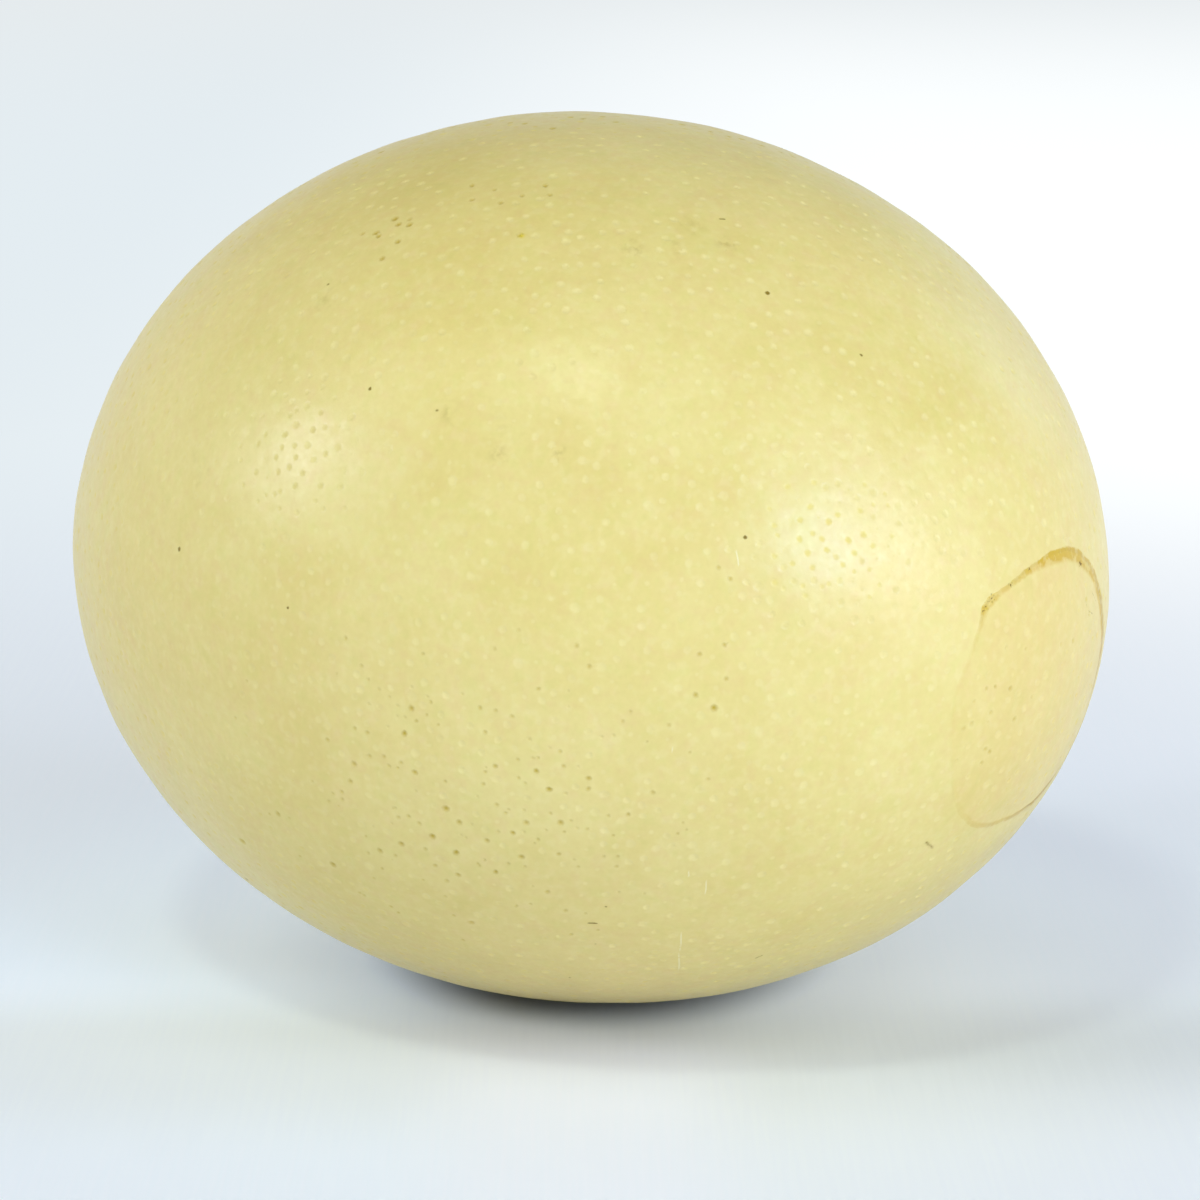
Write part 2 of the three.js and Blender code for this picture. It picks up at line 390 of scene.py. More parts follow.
class Cloud:
    """The mesh's vertices: directions and what each carries."""

    def __init__(self):
        self.u, self.height, self.tilt = [], [], []
        self.fields = {k: [] for k in ("pit", "pore", "speck", "smudge", "scratch")}

    def add(self, u, height=None, tilt=None, **fields):
        n = len(u)
        self.u.append(u)
        self.height.append(np.zeros(n) if height is None else height)
        self.tilt.append(np.zeros((n, 3)) if tilt is None else tilt)
        for k in self.fields:
            self.fields[k].append(np.broadcast_to(np.asarray(fields.get(k, 0.0), float), (n,)).copy())

    def join(self):
        return (np.concatenate(self.u), np.concatenate(self.height), np.concatenate(self.tilt),
                {k: np.concatenate(v) for k, v in self.fields.items()})


cloud = Cloud()


def add_pits(s_u, radius, depth, pore, rings=((5, 0.5), (7, 1.0)), halo=0.0):
    """A pit is a centre, an inner ring and a rim. h = -depth (1 - rho^2)^2."""
    n = len(s_u)
    centre = shell(s_u, waves=False)
    cloud.add(s_u, height=-depth, pit=np.ones(n), pore=pore)
    squeeze, turn = rng.uniform(0.82, 1.0, n), rng.random(n) * 6.283
    start = rng.random(n) * 6.283
    for count, rho in rings:
        for k in range(count):
            a = start + 6.283185 * k / count + rng.uniform(-0.12, 0.12, n)
            r = radius * rho * rng.uniform(0.92, 1.08, n)
            x, y = r * np.cos(a), r * np.sin(a) * squeeze
            dx, dy = x * np.cos(turn) - y * np.sin(turn), x * np.sin(turn) + y * np.cos(turn)
            u = moved(s_u, dx, dy)
            away = unit(shell(u, waves=False) - centre)
            slope = depth / radius * 4 * rho * (1 - rho**2)
            share = (1 - rho**2) ** 2
            cloud.add(u, height=-depth * share, tilt=-away * slope[:, None],
                      pit=np.full(n, 0.62 if rho < 0.7 else halo),
                      pore=pore * (0.62 if rho < 0.7 else 0.0))
        start = start + 0.3


def add_spot(s_u, radius, field, strength, height=0.0, counts=((6, 0.5), (8, 1.0))):
    """A round field that falls from its strength at the centre to nothing at the radius."""
    n = len(s_u)
    cloud.add(s_u, height=np.full(n, 1.0) * height, **{field: strength})
    start = rng.random(n) * 6.283
    for count, rho in counts:
        for k in range(count):
            a = start + 6.283185 * k / count + rng.uniform(-0.15, 0.15, n)
            r = radius * rho * rng.uniform(0.85, 1.15, n)
            u = moved(s_u, r * np.cos(a), r * np.sin(a))
            cloud.add(u, height=np.full(n, 1.0) * height * (1 - rho**2) ** 2, **{field: strength * (1 - rho)})
        start = start + 0.4


def add_line(a, b, half, field, strength, step=0.35):
    """A thin line from a to b over the shell: a middle row at full strength between two rows at none."""
    pa, pb = shell(a[None], False)[0], shell(b[None], False)[0]
    n = max(3, int(np.linalg.norm(pb - pa) / step))
    f = np.linspace(0, 1, n)
    mid = unit(a[None] * (1 - f)[:, None] + b[None] * f[:, None])
    side = np.cross(unit(pb - pa), mid)
    bend = 0.06 * np.sin(f * 5.0 + 1.3)
    fade = np.clip(6 * f * (1 - f), 0.0, 1.0) * strength
    for off, level in ((-2.0, 0.0), (-0.9, 0.5), (0.0, 1.0), (0.9, 0.5), (2.0, 0.0)):
        u = unit(mid + side * ((off * half + bend) / 66.0)[:, None] if np.ndim(bend) else mid)
        cloud.add(u, **{field: fade * level})
    return mid


# 1. the ring line: rows along it
around = Grid(2.0)
ring_phi = np.arange(-180, 180, 1.35)
for off in (-2.3, -1.35, -0.75, -0.3, 0.0, 0.3, 0.75, 1.35, 2.3):
    phi = ring_phi + rng.uniform(-0.25, 0.25, len(ring_phi)) + (0.6 if off in (-0.75, 0.75, 0.0) else 0)
    rho, depth, half, *_ = ring_at(phi)
    stretch = half / 0.6 if abs(off) < 1.3 else 1.0
    ang = np.radians(rho + np.degrees(off * stretch / 75.0))
    a = np.radians(phi)
    d = (np.cos(ang)[:, None] * ring_axis
         + np.sin(ang)[:, None] * (np.cos(a)[:, None] * ring_up + np.sin(a)[:, None] * ring_side))
    # direction from the centre of the egg to the shell's own parameter
    u = unit(d / np.array([HALF_LENGTH, HALF_WIDTH, HALF_WIDTH]))
    for _ in range(6):
        miss = d - unit(shell(u, waves=False))
        u = unit(u + miss / np.array([HALF_LENGTH, HALF_WIDTH, HALF_WIDTH]) * 70.0)
    cloud.add(u)
    for p in shell(u, waves=False):
        around.add(p, 0.42 if abs(off) < 2 else 0.6)

# 2. the marks
spots = Grid(2.5)  # every disc that pits keep clear of
for p in shell(cloud.u[2][::2], waves=False):
    spots.add(p, 0.9)


def claim(u, radius):
    for p, r in zip(shell(u, waves=False), radius):
        spots.add(p, r)


pores, specks, smudges = np.array(PORES), np.array(SPECKS), np.array(SMUDGES)
pore_u, speck_u, smudge_u = at(pores[:, 0], pores[:, 1]), at(specks[:, 0], specks[:, 1]), at(smudges[:, 0], smudges[:, 1])
add_pits(pore_u, pores[:, 2] * 1.3, pores[:, 2] * 1.3 * (PIT_DEPTH + 0.12 * pores[:, 3]), pores[:, 3],
         halo=0.22)
claim(pore_u, pores[:, 2] * 1.2)
# painted shade: the pits in the two glints get the pores' darker colour by their strength (and further down, near
# the +X end, a yellower one), for the glint they lose
glints = np.array(GLINTS)
glint_u = at(glints[:, 0], glints[:, 1])
add_pits(glint_u, glints[:, 2] * 1.3, glints[:, 2] * np.where(glints[:, 0] < 60.0, 0.13, 0.17),
         glints[:, 3] * np.where(glints[:, 0] < 60.0, 0.18, 0.42), halo=0.10)
claim(glint_u, glints[:, 2] * 1.2)
add_spot(speck_u, specks[:, 2], "speck", specks[:, 3])
claim(speck_u, specks[:, 2] * 1.5)
add_spot(at(np.array([FLECK[0]]), np.array([FLECK[1]])), np.array([0.7]), "speck", np.array([0.0]))
claim(at(np.array([FLECK[0]]), np.array([FLECK[1]])), np.array([0.9]))
add_spot(smudge_u, smudges[:, 2] * 1.5, "smudge", smudges[:, 3] * 1.5)
for s0, t0, s1, t1, half, dark in DASHES:
    mid = add_line(at(s0, t0), at(s1, t1), half, "speck", dark, step=0.25)
    claim(mid, np.full(len(mid), 0.5))
for s0, t0, s1, t1 in SCRATCHES:
    add_line(at(s0, t0), at(s1, t1), 0.07, "scratch", 0.5)

# Faint pores between the ones listed, thickest low on the -Y side
faint = np.c_[rng.normal(80.0, 14.0, 150), rng.normal(202.0, 11.0, 150)]
faint = faint[(np.abs(faint[:, 0] - 80.0) < 26.0) & (np.abs(faint[:, 1] - 201.0) < 24.0)]
faint_u = at(faint[:, 0], faint[:, 1])
free = np.array([spots.free(p, 0.5, 0.15) for p in shell(faint_u, waves=False)])
faint_u = faint_u[free]
faint_r = rng.uniform(0.34, 0.46, len(faint_u))
add_pits(faint_u, faint_r * 1.15, faint_r * 0.2, rng.uniform(0.2, 0.6, len(faint_u)), halo=0.18)
claim(faint_u, faint_r * 1.3)

# The sides that the marks above leave bare get marks of the same kinds
FRONT = unit((0.466, -0.861, 0.203))


def hidden(u):
    return u @ FRONT < 0.02


def scatter(count, rule):
    out = []
    while len(out) < count:
        u = unit(rng.normal(size=(1, 3)))
        if rule(u)[0] and (shell(u, False) + STAND)[0, 2] > 6.0:
            out.append(u[0])
    return np.array(out)


extra = scatter(17, hidden)
size = rng.uniform(0.4, 0.75, len(extra))
add_spot(extra, size * 0.95, "speck", rng.uniform(0.6, 1.0, len(extra)))
claim(extra, size * 1.5)
extra = scatter(14, hidden)
add_spot(extra, rng.uniform(1.6, 3.6, len(extra)), "smudge", rng.uniform(0.2, 0.42, len(extra)))
for u in scatter(9, hidden):
    t1, t2 = frame_of(u[None])
    a = rng.random() * 6.283
    far = unit(u + (t1[0] * math.cos(a) + t2[0] * math.sin(a)) * rng.uniform(2.0, 7.0) / 68.0)
    add_line(u, far, 0.07, "scratch", 0.5)
clusters = scatter(7, hidden)
cluster_reach = rng.uniform(8.0, 20.0, len(clusters)) / 68.0

# 3. pits all over the shell, about 2 mm apart, crowded in some places and loose in others
crowd = [make_waves(10, 18.0, 60.0, 1.0)[0] for _ in range(1)][0]
crowd_phase = rng.random(len(crowd)) * 6.283


def crowding(p):
    return np.sin(p @ crowd.T + crowd_phase).sum(1) / math.sqrt(len(crowd) / 2)


candidates = unit(rng.normal(size=(76000, 3)))
where = shell(candidates, waves=False)
stretch = np.linalg.norm(where, axis=1) ** 2
candidates = candidates[rng.random(len(where)) < stretch / stretch.max()]
where = shell(candidates, waves=False)
reach = np.clip(0.96 + 0.11 * crowding(where) + 0.09 * rng.normal(size=len(where)), 0.72, 1.45)
size = np.clip(rng.normal(0.70, 0.14, len(where)), 0.42, 1.05)
standing = where[:, 2] + STAND[2]
kept = []
PIT_COUNT = 8600
for i in range(len(candidates)):
    if standing[i] < 1.2 or len(kept) >= PIT_COUNT:
        continue
    p = where[i]
    if spots.free(p, reach[i], 0.0):
        spots.add(p, reach[i])
        kept.append(i)
kept = np.array(kept)
pit_u, pit_r = candidates[kept], size[kept]
dark = rng.uniform(0.0, 0.16, len(kept)) * (rng.random(len(kept)) < 0.8)
near = ((pit_u[:, None, :] - clusters[None]) ** 2).sum(2) ** 0.5 < cluster_reach[None]
dark = np.where(near.any(1) & (rng.random(len(kept)) < 0.4), rng.uniform(0.35, 0.95, len(kept)), dark)
deep = pit_r * PIT_DEPTH * rng.uniform(0.45, 1.2, len(kept))
wide = (pit_r > 0.71) | (dark > 0.3)
add_pits(pit_u[wide], pit_r[wide], deep[wide], dark[wide])
add_pits(pit_u[~wide], pit_r[~wide], deep[~wide] * 0.45, dark[~wide], rings=((6, 0.85),))
print("pits", len(kept), "wide", int(wide.sum()))

# 4. the edge of the rest flat, where the shell meets Z = 0
BOTTOM = unit((0.0, 0.0, -1.0))


def flat_edge(count, rise):
    """Directions of the shell's points at height rise above the floor, all the way round."""
    a = 2 * math.pi * np.arange(count) / count
    lo, hi = np.full(count, 0.0), np.full(count, 0.6)
    side = np.stack([np.cos(a), np.sin(a), np.zeros(count)], -1)
    for _ in range(40):
        mid = (lo + hi) / 2
        u = unit(BOTTOM * np.cos(mid)[:, None] + side * np.sin(mid)[:, None])
        z = (shell(u) + STAND)[:, 2]
        lo, hi = np.where(z < rise, mid, lo), np.where(z < rise, hi, mid)
    return unit(BOTTOM * np.cos(hi)[:, None] + side * np.sin(hi)[:, None])


edge_u = flat_edge(72, 0.0)

# 5. plain shell between them all
u_all, height, tilt, fields = cloud.join()
z = (shell(u_all) + STAND)[:, 2]
order = np.flatnonzero(z > 0.12)
tiny = Grid(0.5)
tiny.widest = 0.03
p_all = shell(u_all, waves=False)
taken = []
for i in order:
    if tiny.free(p_all[i], 0.03, 0.0):
        tiny.add(p_all[i], 0.03)
        taken.append(i)
taken = np.array(taken)
u_all, height, tilt = u_all[taken], height[taken], tilt[taken]
fields = {k: v[taken] for k, v in fields.items()}

fill = Grid(1.5)
fill.widest = 1.0
for p in shell(u_all, waves=False):
    fill.add(p, 0.0)
for p in shell(edge_u, waves=False):
    fill.add(p, 0.1)
room = VERTEX_BUDGET - len(u_all) - len(edge_u) - 60
candidates = unit(rng.normal(size=(110000, 3)))
where = shell(candidates, waves=False)
standing = (shell(candidates) + STAND)[:, 2]
extra = []
FILL_GAP = 0.80
for i in range(len(candidates)):
    if standing[i] < 0.03 or len(extra) >= room:
        continue
    if fill.free(where[i], 0.5, FILL_GAP - 0.5):
        fill.add(where[i], 0.5)
        extra.append(i)
extra = candidates[np.array(extra)]
print("vertices: features", len(u_all), "fill", len(extra), "room", room)

u_all = np.concatenate([edge_u, u_all, extra])
pad = len(extra)
height = np.concatenate([np.zeros(len(edge_u)), height, np.zeros(pad)])
tilt = np.concatenate([np.zeros((len(edge_u), 3)), tilt, np.zeros((pad, 3))])
fields = {k: np.concatenate([np.zeros(len(edge_u)), v, np.zeros(pad)]) for k, v in fields.items()}

# --------------------------------------------------------------------------------------
# The mesh: a Delaunay triangulation over the sphere of directions, seen from its lowest point
# --------------------------------------------------------------------------------------
ring_h, ring_slope, ring_s, stains = ring_fields(u_all)
normal = shell_normal(u_all)
position = shell(u_all) + normal * (height + ring_h)[:, None]
outward = unit(np.cross(np.cross(np.broadcast_to(ring_axis, u_all.shape), u_all), u_all))
outward = -outward * np.sign((outward * -ring_axis).sum(1, keepdims=True))
normal = unit(normal + tilt - outward * ring_slope[:, None] * (np.abs(ring_s) < 4)[:, None])
position = position + STAND
position[: len(edge_u), 2] = 0.0

fleck_at = shell(at(np.array([FLECK[0]]), np.array([FLECK[1]])), waves=False)[0]
fleck_far = np.linalg.norm(shell(u_all, waves=False) - fleck_at, axis=1)
stains["yellow"] = np.clip(1.5 - fleck_far / FLECK[2], 0.0, 1.0)
smooth_shell = shell(u_all, waves=False)
for (s0, _, r0, deep0), p0 in zip(GLINTS, shell(glint_u, waves=False)):
    if s0 < 60.0:  # painted shade: the pits in the glint at this end are painted yellower, for the glint they lose
        r_far = np.linalg.norm(smooth_shell - p0, axis=1) / r0
        stains["yellow"] = np.maximum(stains["yellow"], 0.55 * deep0 * np.clip(1.5 - r_far, 0.0, 1.0))

flat_map = u_all[:, :2] / (1 + u_all[:, 2:3])
rim = [(i, (i + 1) % len(edge_u)) for i in range(len(edge_u))]


def triangulated(points, eps):
    """Triangles inside the closed line of the first points, which is the rest flat's edge."""
    made = delaunay_2d_cdt([Vector(c) for c in points], rim, [], 0, eps, False)
    assert len(made[0]) == len(points), "two vertices were merged"
    f = np.array(made[2])
    ask = np.flatnonzero((f < len(edge_u)).all(1))
    line = points[: len(edge_u)]
    keep = np.ones(len(f), bool)
    for i in ask:
        x, y = points[f[i]].mean(0)
        a, b = line, np.roll(line, -1, axis=0)
        crosses = (a[:, 1] > y) != (b[:, 1] > y)
        at_x = a[:, 0] + (y - a[:, 1]) * (b[:, 0] - a[:, 0]) / np.where(crosses, b[:, 1] - a[:, 1], 1.0)
        keep[i] = (crosses & (x < at_x)).sum() % 2 == 1
    return f[keep]


faces = triangulated(flat_map, 1e-10)
count = len(position)

# the flat underneath
lo_edge = position[: len(edge_u), :2]
inner = [lo_edge * k + lo_edge.mean(0) * (1 - k) for k in (0.72, 0.42)]
inner = np.concatenate([inner[0][::2], inner[1][::4], lo_edge.mean(0)[None]])
below = triangulated(np.concatenate([lo_edge, inner]), 1e-9)
below = np.where(below >= len(edge_u), below - len(edge_u) + count, below)
position = np.concatenate([position, np.c_[inner, np.zeros(len(inner))]])
normal = np.concatenate([normal, np.tile([[0, 0, -1.0]], (len(inner), 1))])
normal[: len(edge_u)] = unit(normal[: len(edge_u)] + [0, 0, -1.0])


def outwards(f, p):
    a, b, c = p[f[:, 0]], p[f[:, 1]], p[f[:, 2]]
    n = np.cross(b - a, c - a)
    turn = (n * ((a + b + c) / 3 - STAND)).sum(1) < 0
    f[turn] = f[turn][:, [0, 2, 1]]
    return f


faces = outwards(np.concatenate([faces, below]), position)
edges = np.sort(faces[:, [0, 1, 1, 2, 2, 0]].reshape(-1, 2), axis=1)
_, uses = np.unique(edges[:, 0].astype(np.int64) * len(position) + edges[:, 1], return_counts=True)
print("mesh", len(position), "vertices", len(faces), "faces; open or doubled edges:", int((uses != 2).sum()))
lengths = np.linalg.norm(position[edges[:, 0]] - position[edges[:, 1]], axis=1)
print("edge lengths mm: 1%%, 50%%, 99%%, longest: %.2f %.2f %.2f %.2f" % (*np.percentile(lengths, (1, 50, 99)), lengths.max()))


# --------------------------------------------------------------------------------------
# The Blender mesh, with its fields and its UV map
# --------------------------------------------------------------------------------------
def add_field(mesh, name, values):
    a = mesh.attributes.new(name, "FLOAT", "POINT")
    a.data.foreach_set("value", np.asarray(values, np.float32))


def cube_uv(directions, f):
    """Six charts, one for each side of a cube round the egg, in three columns and two rows."""
    middle = unit(directions[f].mean(1))
    side = np.abs(middle).argmax(1)
    plus = np.take_along_axis(middle, side[:, None], 1)[:, 0] > 0
    d = directions[f]
    out = np.zeros((len(f), 3, 2))
    for axis in range(3):
        for sign in (False, True):
            pick = (side == axis) & (plus == sign)
            if not pick.any():
                continue
            # across first, then along: the long axis runs up the chart where it can
            across, along = ((1, 2), (2, 0), (1, 0))[axis]
            w = d[pick]
            depth = np.abs(w[:, :, axis])
            a = np.arctan2(w[:, :, across], depth) / (math.pi / 2)
            b = np.arctan2(w[:, :, along], depth) / (math.pi / 2)
            if sign != (axis != 1):
                a = -a
            col, row = axis, int(sign)
            out[pick, :, 0] = (col + 0.5 + a * 0.93) / 3
            out[pick, :, 1] = (row + 0.5 + b * 0.93) / 2
    return out


mesh = bpy.data.meshes.new("egg_shell")
mesh.vertices.add(len(position))
mesh.vertices.foreach_set("co", (position * MM).astype(np.float32).ravel())
mesh.loops.add(len(faces) * 3)
mesh.loops.foreach_set("vertex_index", faces.astype(np.int32).ravel())
mesh.polygons.add(len(faces))
mesh.polygons.foreach_set("loop_start", (np.arange(len(faces)) * 3).astype(np.int32))
mesh.update(calc_edges=True)
mesh.polygons.foreach_set("use_smooth", np.ones(len(faces), bool))
pad = np.zeros(len(inner))
for name in ("pit", "pore", "speck", "smudge", "scratch"):
    add_field(mesh, name, np.concatenate([fields[name], pad]))
for name, values in stains.items():
    add_field(mesh, name, np.concatenate([values, pad + 1.0 if name == "ring_half" else pad]))
all_u = np.concatenate([u_all, np.tile([[0, 0, -1.0]], (len(inner), 1))])
all_u[-len(inner):, :2] = inner / 70.0
uv = mesh.uv_layers.new(name="OFBake")
uv.data.foreach_set("uv", cube_uv(unit(all_u), faces).astype(np.float32).ravel())
mesh.validate()
mesh.normals_split_custom_set_from_vertices(normal.astype(np.float32).tolist())
egg = bpy.data.objects.new("egg_shell", mesh)
bpy.context.scene.collection.objects.link(egg)


# --------------------------------------------------------------------------------------
# Materials
# --------------------------------------------------------------------------------------
class Nodes:
    """Short calls for building a node tree."""

    def __init__(self, name):
        self.material = bpy.data.materials.new(name)
        self.material.use_nodes = True
        self.tree = self.material.node_tree
        self.tree.nodes.clear()

    def new(self, kind, **settings):
        n = self.tree.nodes.new(kind)
        for k, v in settings.items():
            setattr(n, k, v)
        return n

    def put(self, socket, value):
        if isinstance(value, bpy.types.NodeSocket):
            self.tree.links.new(value, socket)
        else:
            socket.default_value = value

    def math(self, op, a, b=0.0, c=0.0, clamp=False):
        n = self.new("ShaderNodeMath", operation=op, use_clamp=clamp)
        for i, v in enumerate((a, b, c)):
            self.put(n.inputs[i], v)
        return n.outputs[0]

    def ramp(self, value, lo, hi, out_lo=0.0, out_hi=1.0, smooth=True):
        n = self.new("ShaderNodeMapRange", interpolation_type="SMOOTHSTEP" if smooth else "LINEAR")
        for i, v in enumerate((value, lo, hi, out_lo, out_hi)):
            self.put(n.inputs[i], v)
        return n.outputs[0]

    def mix(self, fac, a, b, blend="MIX"):
        n = self.new("ShaderNodeMix", data_type="RGBA", blend_type=blend)
        for i, v in ((0, fac), (6, a), (7, b)):
            self.put(n.inputs[i], v)
        return n.outputs[2]

    def noise(self, where, wavelength, detail=2.0, rough=0.5, distortion=0.0):
        """Noise about 0.5; wavelength in millimetres."""
        n = self.new("ShaderNodeTexNoise")
        self.put(n.inputs["Vector"], where)
        self.put(n.inputs["Scale"], 1000.0 / wavelength)
        self.put(n.inputs["Detail"], detail)
        self.put(n.inputs["Roughness"], rough)
        self.put(n.inputs["Distortion"], distortion)
        return n.outputs["Fac"]

    def field(self, name):
        return self.new("ShaderNodeAttribute", attribute_name=name).outputs["Fac"]

    def shifted(self, where, offset):
        n = self.new("ShaderNodeVectorMath", operation="ADD")
        self.put(n.inputs[0], where)
        n.inputs[1].default_value = offset
        return n.outputs[0]


def rgb(r, g, b):
    return (r, g, b, 1.0)


SHELL_MID = rgb(0.812, 0.672, 0.232)
SHELL_PALE = rgb(0.865, 0.748, 0.305)
SHELL_DEEP = rgb(0.750, 0.597, 0.172)


def shell_material():
    t = Nodes("eggshell")
    where = t.new("ShaderNodeTexCoord").outputs["Object"]
    patch = t.noise(where, 46.0, 2.0, 0.5)
    mottle = t.noise(t.shifted(where, (0.31, 0.17, 0.05)), 9.0, 3.0, 0.55)
    fleck = t.noise(t.shifted(where, (0.11, 0.47, 0.25)), 1.5, 1.0, 0.5)
    grain = t.noise(t.shifted(where, (0.71, 0.27, 0.45)), 0.75, 2.0, 0.6)

    pale = t.ramp(t.math("ADD", t.math("MULTIPLY", patch, 0.55), t.math("MULTIPLY", mottle, 0.45)), 0.36, 0.66)
    colour = t.mix(pale, SHELL_DEEP, SHELL_PALE)
    colour = t.mix(0.62, colour, SHELL_MID)
    blush = t.noise(t.shifted(where, (0.9, 0.6, 0.2)), 27.0, 2.0, 0.5)
    colour = t.mix(t.ramp(blush, 0.36, 0.66, 0.0, 0.5), colour, rgb(1.0, 0.965, 0.985), "MULTIPLY")
    colour = t.mix(t.ramp(fleck, 0.50, 0.72, 0.0, 0.14), colour, rgb(0.93, 0.82, 0.42))
    colour = t.mix(t.ramp(fleck, 0.50, 0.28, 0.0, 0.08), colour, rgb(0.66, 0.50, 0.136))
    colour = t.mix(t.ramp(grain, 0.30, 0.70, 0.0, 0.07), colour, rgb(0.60, 0.453, 0.127))

    tinge = t.noise(t.shifted(where, (0.5, 0.8, 0.3)), 2.6, 2.0, 0.55)
    colour = t.mix(t.ramp(tinge, 0.50, 0.72, 0.0, 0.7), colour, rgb(0.965, 1.0, 0.93), "MULTIPLY")
    colour = t.mix(t.ramp(tinge, 0.50, 0.28, 0.0, 0.8), colour, rgb(1.0, 0.955, 1.0), "MULTIPLY")

    # painted shade: the shell's colour is made darker and browner towards the bottom, from 56 mm down to 14 mm above
    # the floor
    level = t.new("ShaderNodeSeparateXYZ")
    t.put(level.inputs[0], where)
    colour = t.mix(t.ramp(level.outputs["Z"], 0.056, 0.014), colour, rgb(0.885, 0.86, 0.77), "MULTIPLY")

    # pits, open pores, specks, smudges
    # the pits are painted paler: partly their own paler colour, partly a painted glint of their walls catching the
    # lamps
    colour = t.mix(t.ramp(t.field("pit"), 0.0, 0.8, 0.0, 0.30), colour, rgb(0.93, 0.82, 0.42))
    colour = t.mix(t.field("pore"), colour, rgb(0.58, 0.475, 0.04), "MULTIPLY")
    ragged = t.math("MULTIPLY", t.math("SUBTRACT", t.noise(t.shifted(where, (0.2, 0.9, 0.1)), 0.55, 2.0), 0.5), 0.35)
    speck = t.ramp(t.math("ADD", t.field("speck"), ragged), 0.22, 0.62)
    colour = t.mix(speck, colour, rgb(0.32, 0.265, 0.045), "MULTIPLY")
    cloudy = t.noise(t.shifted(where, (0.6, 0.3, 0.8)), 1.6, 3.0, 0.6)
    smudge = t.math("MULTIPLY", t.field("smudge"), t.ramp(cloudy, 0.35, 0.62))
    colour = t.mix(smudge, colour, rgb(0.66, 0.60, 0.42), "MULTIPLY")

    # the ring line: amber stain, a dark edge that is partly dirt and partly painted shade on the groove's upper
    # wall, and the slightly warmer end inside it
    drift = t.math("SUBTRACT", t.noise(t.shifted(where, (0.8, 0.2, 0.4)), 3.4, 2.0), 0.5)
    across = t.math("ADD", t.field("ring_s"), t.math("ADD", t.math("MULTIPLY", drift, 0.7), ragged))
    colour = t.mix(t.ramp(across, 0.45, -0.45, 0.0, 0.75), colour, rgb(0.985, 0.945, 0.89), "MULTIPLY")
    share = t.math("DIVIDE", across, t.field("ring_half"))
    band = t.math("MULTIPLY", t.ramp(share, 1.25, 0.85), t.ramp(share, -1.8, -0.4))
    band = t.math("MULTIPLY", band, t.field("ring_amber"))
    stain = t.math("MULTIPLY", band, t.ramp(cloudy, 0.36, 0.57, 0.45, 1.25), clamp=True)
    colour = t.mix(stain, colour, rgb(0.80, 0.635, 0.015), "MULTIPLY")
    # painted shade: the dark edge, partly dirt, drawn along the groove's upper wall
    line = t.math("ABSOLUTE", t.math("SUBTRACT", across, t.field("ring_off")))
    dark = t.math("MULTIPLY", t.ramp(line, 0.36, 0.12), t.field("ring_dark"))
    dark = t.math("MULTIPLY", dark, t.ramp(cloudy, 0.62, 0.38, 0.45, 1.0), clamp=True)
    colour = t.mix(dark, colour, rgb(0.50, 0.36, 0.05), "MULTIPLY")
    colour = t.mix(t.field("yellow"), colour, rgb(1.0, 0.95, 0.20), "MULTIPLY")
    colour = t.mix(t.field("scratch"), colour, rgb(0.95, 0.90, 0.62))

    rough = t.ramp(mottle, 0.3, 0.7, 0.36, 0.43)
    rough = t.math("ADD", rough, t.ramp(t.field("pit"), 0.25, 0.85, 0.0, 0.36))
    rough = t.math("ADD", rough, t.math("MULTIPLY", t.math("ADD", speck, t.field("pore")), 0.2))
    rough = t.math("ADD", rough, t.ramp(grain, 0.3, 0.7, -0.03, 0.05), clamp=True)

    # fine relief: the orange-peel of the glaze, its grain, scratches and stain
    relief = t.math("MULTIPLY", t.noise(t.shifted(where, (0.4, 0.1, 0.6)), 1.9, 2.0, 0.5), 0.030)
    relief = t.math("ADD", relief, t.math("MULTIPLY", grain, 0.010))
    relief = t.math("SUBTRACT", relief, t.math("MULTIPLY", t.field("scratch"), 0.01))
    relief = t.math("ADD", relief, t.math("MULTIPLY", speck, 0.02))
    bump = t.new("ShaderNodeBump")
    t.put(bump.inputs["Height"], relief)
    bump.inputs["Distance"].default_value = 0.001
    bump.inputs["Strength"].default_value = 1.0

    out = t.new("ShaderNodeOutputMaterial")
    s = t.new("ShaderNodeBsdfPrincipled")
    t.put(s.inputs["Base Color"], colour)
    t.put(s.inputs["Roughness"], rough)
    t.put(s.inputs["Normal"], bump.outputs["Normal"])
    s.inputs["IOR"].default_value = 1.5
    t.put(s.inputs["Coat Weight"], t.ramp(t.math("ADD", t.field("pit"), speck), 0.25, 0.85, 0.38, 0.02))
    s.inputs["Coat Roughness"].default_value = 0.30
    s.inputs["Subsurface Weight"].default_value = 0.0
    t.tree.links.new(s.outputs[0], out.inputs[0])
    return t.material


mesh.materials.append(shell_material())
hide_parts(NODE)
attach(egg, "root")


# --------------------------------------------------------------------------------------
# Floor, light and camera
# --------------------------------------------------------------------------------------
centre = Vector((STAND * MM).tolist())


def look(obj, target):
    obj.rotation_mode = "QUATERNION"
    obj.rotation_quaternion = (Vector(target) - obj.location).to_track_quat("-Z", "Y")


def around_egg(azimuth, elevation, distance):
    """A place seen from the egg's centre; azimuth 0 is towards -Y and 90 towards +X."""
    a, e = math.radians(azimuth), math.radians(elevation)
    return centre + Vector((math.sin(a) * math.cos(e), -math.cos(a) * math.cos(e), math.sin(e))) * distance


def softbox(name, azimuth, elevation, distance, width, height, power, colour=(1, 1, 1)):
    data = bpy.data.lights.new(name, "AREA")
    data.shape = "ELLIPSE"
    data.size, data.size_y = width, height
    data.energy = power
    data.color = colour
    lamp = bpy.data.objects.new(name, data)
    bpy.context.scene.collection.objects.link(lamp)
    lamp.location = around_egg(azimuth, elevation, distance)
    look(lamp, centre)
    lamp.visible_camera = False
    return lamp


